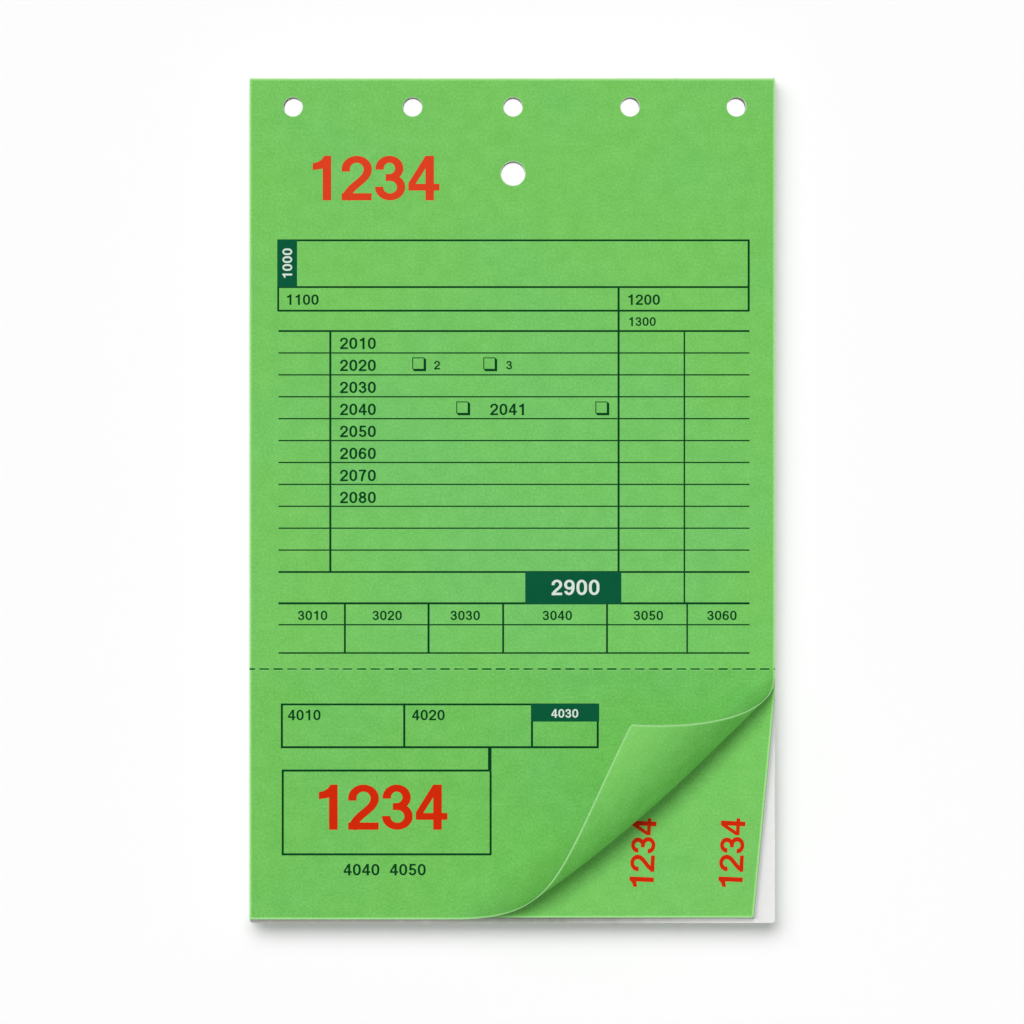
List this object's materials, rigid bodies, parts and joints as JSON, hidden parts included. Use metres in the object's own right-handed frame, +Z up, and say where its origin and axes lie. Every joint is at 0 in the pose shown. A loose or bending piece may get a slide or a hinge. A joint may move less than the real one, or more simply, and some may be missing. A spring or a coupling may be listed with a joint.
{
  "type": "duplicate receipt book",
  "caption": "Head-gummed pad of two-part receipt sets with a punched head, tear-off claim stubs, a loose writing shield and a backing board; the top stub's corner is rolled up.",
  "frame": {"origin": "on the table under the middle of the pad, at the underside of the backing board", "axes": "+X to the right across the form, +Y towards the gummed head, +Z up out of the form"},
  "size_m": [0.127, 0.2044, 0.0428],
  "materials": {
    "green_copy_paper": "uncoated green copy paper",
    "green_tag_stock": "uncoated green tag stock",
    "white_card": "smooth white card",
    "grey_board": "grey chipboard",
    "clear_gum": "dried milky padding gum"
  },
  "bodies": {
    "backing_board": {"backing_board": "grey_board", "padding_gum": "clear_gum"},
    "tag_copy_10": {"tag_copy_10": "green_tag_stock"},
    "customer_copy_10": {"customer_copy_10": "green_copy_paper"},
    "tag_copy_09": {"tag_copy_09": "green_tag_stock"},
    "customer_copy_09": {"customer_copy_09": "green_copy_paper"},
    "tag_copy_08": {"tag_copy_08": "green_tag_stock"},
    "customer_copy_08": {"customer_copy_08": "green_copy_paper"},
    "tag_copy_07": {"tag_copy_07": "green_tag_stock"},
    "customer_copy_07": {"customer_copy_07": "green_copy_paper"},
    "tag_copy_06": {"tag_copy_06": "green_tag_stock"},
    "customer_copy_06": {"customer_copy_06": "green_copy_paper"},
    "tag_copy_05": {"tag_copy_05": "green_tag_stock"},
    "customer_copy_05": {"customer_copy_05": "green_copy_paper"},
    "tag_copy_04": {"tag_copy_04": "green_tag_stock"},
    "customer_copy_04": {"customer_copy_04": "green_copy_paper"},
    "tag_copy_03": {"tag_copy_03": "green_tag_stock"},
    "customer_copy_03": {"customer_copy_03": "green_copy_paper"},
    "tag_copy_02": {"tag_copy_02": "green_tag_stock"},
    "customer_copy_02": {"customer_copy_02": "green_copy_paper"},
    "tag_copy_01": {"tag_copy_01": "green_tag_stock"},
    "customer_copy_01": {"customer_copy_01": "green_copy_paper"},
    "claim_stub_01": {"claim_stub_01": "green_copy_paper"},
    "writing_shield": {"writing_shield": "white_card"}
  },
  "joints": [
    {"name": "tag_copy_10_turn", "type": "hinge", "parent": "backing_board", "child": "tag_copy_10", "pos_m": [0, 0.10207, 0.00248], "axis": [-1, 0, 0], "range_deg": [0, 180], "deforming": ["padding_gum"]},
    {"name": "customer_copy_10_turn", "type": "hinge", "parent": "tag_copy_10", "child": "customer_copy_10", "pos_m": [0, 0.10207, 0.00248], "axis": [-1, 0, 0], "range_deg": [0, 180], "deforming": ["padding_gum"]},
    {"name": "tag_copy_09_turn", "type": "hinge", "parent": "customer_copy_10", "child": "tag_copy_09", "pos_m": [0, 0.10207, 0.00248], "axis": [-1, 0, 0], "range_deg": [0, 180], "deforming": ["padding_gum"]},
    {"name": "customer_copy_09_turn", "type": "hinge", "parent": "tag_copy_09", "child": "customer_copy_09", "pos_m": [0, 0.10207, 0.00248], "axis": [-1, 0, 0], "range_deg": [0, 180], "deforming": ["padding_gum"]},
    {"name": "tag_copy_08_turn", "type": "hinge", "parent": "customer_copy_09", "child": "tag_copy_08", "pos_m": [0, 0.10207, 0.00248], "axis": [-1, 0, 0], "range_deg": [0, 180], "deforming": ["padding_gum"]},
    {"name": "customer_copy_08_turn", "type": "hinge", "parent": "tag_copy_08", "child": "customer_copy_08", "pos_m": [0, 0.10207, 0.00248], "axis": [-1, 0, 0], "range_deg": [0, 180], "deforming": ["padding_gum"]},
    {"name": "tag_copy_07_turn", "type": "hinge", "parent": "customer_copy_08", "child": "tag_copy_07", "pos_m": [0, 0.10207, 0.00248], "axis": [-1, 0, 0], "range_deg": [0, 180], "deforming": ["padding_gum"]},
    {"name": "customer_copy_07_turn", "type": "hinge", "parent": "tag_copy_07", "child": "customer_copy_07", "pos_m": [0, 0.10207, 0.00248], "axis": [-1, 0, 0], "range_deg": [0, 180], "deforming": ["padding_gum"]},
    {"name": "tag_copy_06_turn", "type": "hinge", "parent": "customer_copy_07", "child": "tag_copy_06", "pos_m": [0, 0.10207, 0.00248], "axis": [-1, 0, 0], "range_deg": [0, 180], "deforming": ["padding_gum"]},
    {"name": "customer_copy_06_turn", "type": "hinge", "parent": "tag_copy_06", "child": "customer_copy_06", "pos_m": [0, 0.10207, 0.00248], "axis": [-1, 0, 0], "range_deg": [0, 180], "deforming": ["padding_gum"]},
    {"name": "tag_copy_05_turn", "type": "hinge", "parent": "customer_copy_06", "child": "tag_copy_05", "pos_m": [0, 0.10207, 0.00248], "axis": [-1, 0, 0], "range_deg": [0, 180], "deforming": ["padding_gum"]},
    {"name": "customer_copy_05_turn", "type": "hinge", "parent": "tag_copy_05", "child": "customer_copy_05", "pos_m": [0, 0.10207, 0.00248], "axis": [-1, 0, 0], "range_deg": [0, 180], "deforming": ["padding_gum"]},
    {"name": "tag_copy_04_turn", "type": "hinge", "parent": "customer_copy_05", "child": "tag_copy_04", "pos_m": [0, 0.10207, 0.00248], "axis": [-1, 0, 0], "range_deg": [0, 180], "deforming": ["padding_gum"]},
    {"name": "customer_copy_04_turn", "type": "hinge", "parent": "tag_copy_04", "child": "customer_copy_04", "pos_m": [0, 0.10207, 0.00248], "axis": [-1, 0, 0], "range_deg": [0, 180], "deforming": ["padding_gum"]},
    {"name": "tag_copy_03_turn", "type": "hinge", "parent": "customer_copy_04", "child": "tag_copy_03", "pos_m": [0, 0.10207, 0.00248], "axis": [-1, 0, 0], "range_deg": [0, 180], "deforming": ["padding_gum"]},
    {"name": "customer_copy_03_turn", "type": "hinge", "parent": "tag_copy_03", "child": "customer_copy_03", "pos_m": [0, 0.10207, 0.00248], "axis": [-1, 0, 0], "range_deg": [0, 180], "deforming": ["padding_gum"]},
    {"name": "tag_copy_02_turn", "type": "hinge", "parent": "customer_copy_03", "child": "tag_copy_02", "pos_m": [0, 0.10207, 0.00248], "axis": [-1, 0, 0], "range_deg": [0, 180], "deforming": ["padding_gum"]},
    {"name": "customer_copy_02_turn", "type": "hinge", "parent": "tag_copy_02", "child": "customer_copy_02", "pos_m": [0, 0.10207, 0.00248], "axis": [-1, 0, 0], "range_deg": [0, 180], "deforming": ["padding_gum"]},
    {"name": "writing_shield_slide", "type": "slide", "parent": "customer_copy_02", "child": "writing_shield", "axis": [0, -1, 0], "range_m": [0, 0.206]},
    {"name": "tag_copy_01_turn", "type": "hinge", "parent": "customer_copy_02", "child": "tag_copy_01", "pos_m": [0, 0.10207, 0.00248], "axis": [-1, 0, 0], "range_deg": [0, 180], "deforming": ["padding_gum"]},
    {"name": "customer_copy_01_turn", "type": "hinge", "parent": "tag_copy_01", "child": "customer_copy_01", "pos_m": [0, 0.10207, 0.00248], "axis": [-1, 0, 0], "range_deg": [0, 180], "deforming": ["padding_gum"]},
    {"name": "claim_stub_01_fold", "type": "hinge", "parent": "customer_copy_01", "child": "claim_stub_01", "pos_m": [0, -0.04077, 0.00495], "axis": [-1, 0, 0], "range_deg": [0, 90]}
  ]
}
